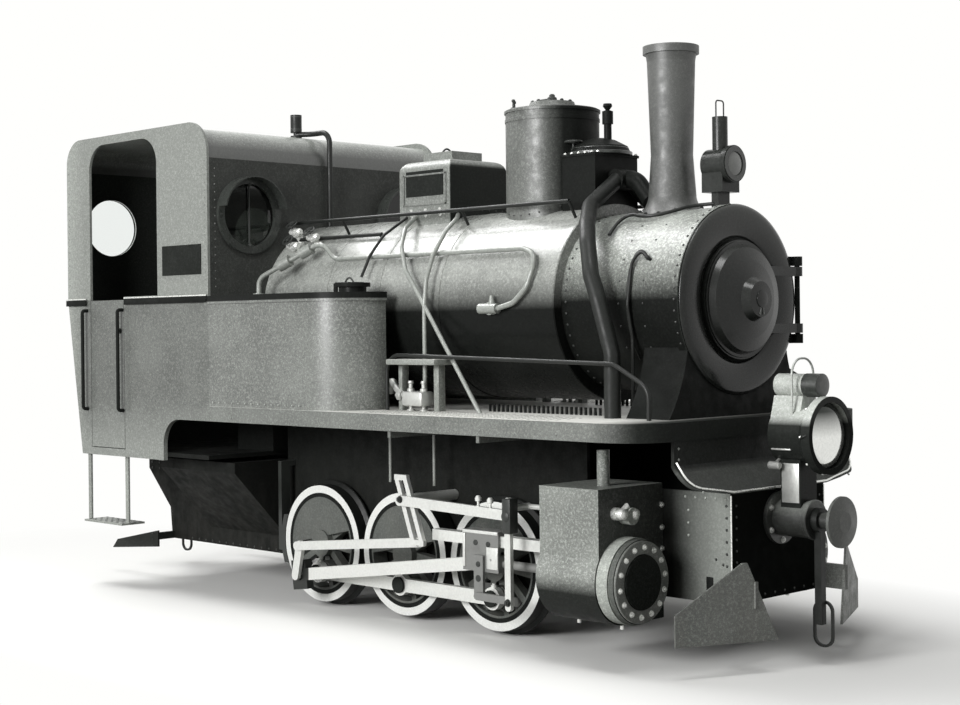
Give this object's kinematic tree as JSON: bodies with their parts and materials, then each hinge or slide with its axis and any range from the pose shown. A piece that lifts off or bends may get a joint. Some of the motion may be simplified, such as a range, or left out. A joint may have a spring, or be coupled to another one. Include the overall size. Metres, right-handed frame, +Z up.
{
  "type": "steam tank locomotive",
  "caption": "Small narrow-gauge tank locomotive with outside cylinders, coupled wheels, side tanks, flat-roofed cab, tall chimney and a large head lamp over a central buffer.",
  "frame": {"origin": "under the middle of the length over the buffer faces, on the centre line, at the wheel flange tips", "axes": "+X forward towards the smokebox and head lamp, +Y to the left, +Z up"},
  "size_m": [6.47, 2.286, 3.562],
  "materials": {
    "paint_frame": "satin black paint on frame and steps",
    "paint_black": "matt black paint on boiler fittings and smokebox",
    "cladding": "glossy black lagging sheet",
    "pipe_metal": "painted pipe",
    "cast_dark": "cast iron, painted black",
    "paint_body": "satin paint, very dark green, on tanks and cab",
    "rod_steel": "bright machined steel",
    "lamp_paint": "satin grey-black lamp body",
    "tyre_steel": "turned steel, painted pale on the outer face",
    "wheel_paint": "satin dark grey paint on wheel centres",
    "brass": "polished brass",
    "glass": "clear glass"
  },
  "bodies": {
    "locomotive": {"ashpan": "paint_frame", "backhead": "paint_black", "blank_plates": "paint_black", "boiler": "cladding", "boiler_rods": "pipe_metal", "brake_gear": "cast_dark", "buffer_front": "cast_dark", "buffer_rear": "cast_dark", "cab_floor": "paint_frame", "cab_front": "paint_body", "cab_rear": "paint_body", "cab_roof": "paint_body", "cab_side_left": "paint_body", "cab_side_right": "paint_body", "cab_steps": "paint_frame", "chimney": "paint_black", "couplings": "cast_dark", "cylinder_left": "cast_dark", "cylinder_right": "cast_dark", "dome": "paint_black", "feed_pipes": "pipe_metal", "frame": "paint_frame", "front_apron": "paint_frame", "handrails": "pipe_metal", "head_lamp": "lamp_paint", "rail_guards": "paint_frame", "running_board": "paint_frame", "sand_pipes": "pipe_metal", "sandbox": "paint_black", "side_tank_left": "paint_body", "side_tank_right": "paint_body", "slide_bar_left": "rod_steel", "slide_bar_right": "rod_steel", "smokebox": "paint_black", "smokebox_saddle": "paint_black", "steam_pipes": "pipe_metal", "top_lamp": "lamp_paint", "valve_gear_left": "rod_steel", "valve_gear_right": "rod_steel", "whistle": "brass", "window_glass": "glass", "window_rims": "paint_black"},
    "axle_rear": {"wheelset_rear": "wheel_paint", "tyres_rear": "tyre_steel"},
    "axle_middle": {"wheelset_middle": "wheel_paint", "tyres_middle": "tyre_steel"},
    "axle_front": {"wheelset_front": "wheel_paint", "tyres_front": "tyre_steel"},
    "coupling_rod_right": {"coupling_rod_right": "rod_steel"},
    "crosshead_right": {"crosshead_right": "rod_steel"},
    "connecting_rod_right": {"connecting_rod_right": "rod_steel"},
    "coupling_rod_left": {"coupling_rod_left": "rod_steel"},
    "crosshead_left": {"crosshead_left": "rod_steel"},
    "connecting_rod_left": {"connecting_rod_left": "rod_steel"},
    "smokebox_door": {"smokebox_door": "paint_black"},
    "cab_door_right": {"cab_door_right": "paint_body"},
    "tank_lid_right": {"tank_lid_right": "paint_body"},
    "cab_door_left": {"cab_door_left": "paint_body"},
    "tank_lid_left": {"tank_lid_left": "paint_body"}
  },
  "joints": [
    {"name": "wheel_spin_rear", "type": "hinge", "parent": "locomotive", "child": "axle_rear", "pos_m": [-0.57505, 0, 0.428], "axis": [0, 1, 0], "continuous": true},
    {"name": "wheel_spin_middle", "type": "hinge", "parent": "locomotive", "child": "axle_middle", "pos_m": [0.26495, 0, 0.428], "axis": [0, 1, 0], "continuous": true},
    {"name": "wheel_spin_front", "type": "hinge", "parent": "locomotive", "child": "axle_front", "pos_m": [1.10495, 0, 0.428], "axis": [0, 1, 0], "continuous": true},
    {"name": "coupling_rod_pin_right", "type": "hinge", "parent": "axle_rear", "child": "coupling_rod_right", "pos_m": [-0.53593, -0.6375, 0.24207], "axis": [0, 1, 0], "continuous": true},
    {"name": "crosshead_slide_right", "type": "slide", "parent": "locomotive", "child": "crosshead_right", "axis": [1, 0, 0], "range_m": [-0.2133, 0.167]},
    {"name": "connecting_rod_pin_right", "type": "hinge", "parent": "crosshead_right", "child": "connecting_rod_right", "pos_m": [1.23709, -0.787, 0.488], "axis": [0, 1, 0], "range_deg": [-0.13, 12.06]},
    {"name": "coupling_rod_pin_left", "type": "hinge", "parent": "axle_rear", "child": "coupling_rod_left", "pos_m": [-0.38911, 0.6375, 0.46711], "axis": [0, 1, 0], "continuous": true},
    {"name": "crosshead_slide_left", "type": "slide", "parent": "locomotive", "child": "crosshead_left", "axis": [1, 0, 0], "range_m": [-0.3769, 0.0033]},
    {"name": "connecting_rod_pin_left", "type": "hinge", "parent": "crosshead_left", "child": "connecting_rod_left", "pos_m": [1.40076, 0.787, 0.488], "axis": [0, 1, 0], "range_deg": [-7.36, 4.83]},
    {"name": "smokebox_door_hinge", "type": "hinge", "parent": "locomotive", "child": "smokebox_door", "pos_m": [2.54296, 0.569, 2.041], "axis": [0, 0, 1], "range_deg": [0, 110]},
    {"name": "cab_door_hinge_right", "type": "hinge", "parent": "locomotive", "child": "cab_door_right", "pos_m": [-2.67904, -1.053, 1.528], "axis": [0, 0, 1], "range_deg": [0, 90]},
    {"name": "tank_lid_hinge_right", "type": "hinge", "parent": "locomotive", "child": "tank_lid_right", "pos_m": [-0.07204, -0.825, 2.1818], "axis": [0, -1, 0], "range_deg": [0, 100]},
    {"name": "cab_door_hinge_left", "type": "hinge", "parent": "locomotive", "child": "cab_door_left", "pos_m": [-2.67904, 1.053, 1.528], "axis": [0, 0, -1], "range_deg": [0, 90]},
    {"name": "tank_lid_hinge_left", "type": "hinge", "parent": "locomotive", "child": "tank_lid_left", "pos_m": [-0.07204, 0.825, 2.1818], "axis": [0, -1, 0], "range_deg": [0, 100]}
  ],
  "couplings": [
    {"joint": "wheel_spin_middle", "follows": "wheel_spin_rear", "ratio": 1},
    {"joint": "wheel_spin_front", "follows": "wheel_spin_rear", "ratio": 1},
    {"joint": "coupling_rod_pin_right", "follows": "wheel_spin_rear", "ratio": -1},
    {"joint": "coupling_rod_pin_left", "follows": "wheel_spin_rear", "ratio": -1}
  ]
}
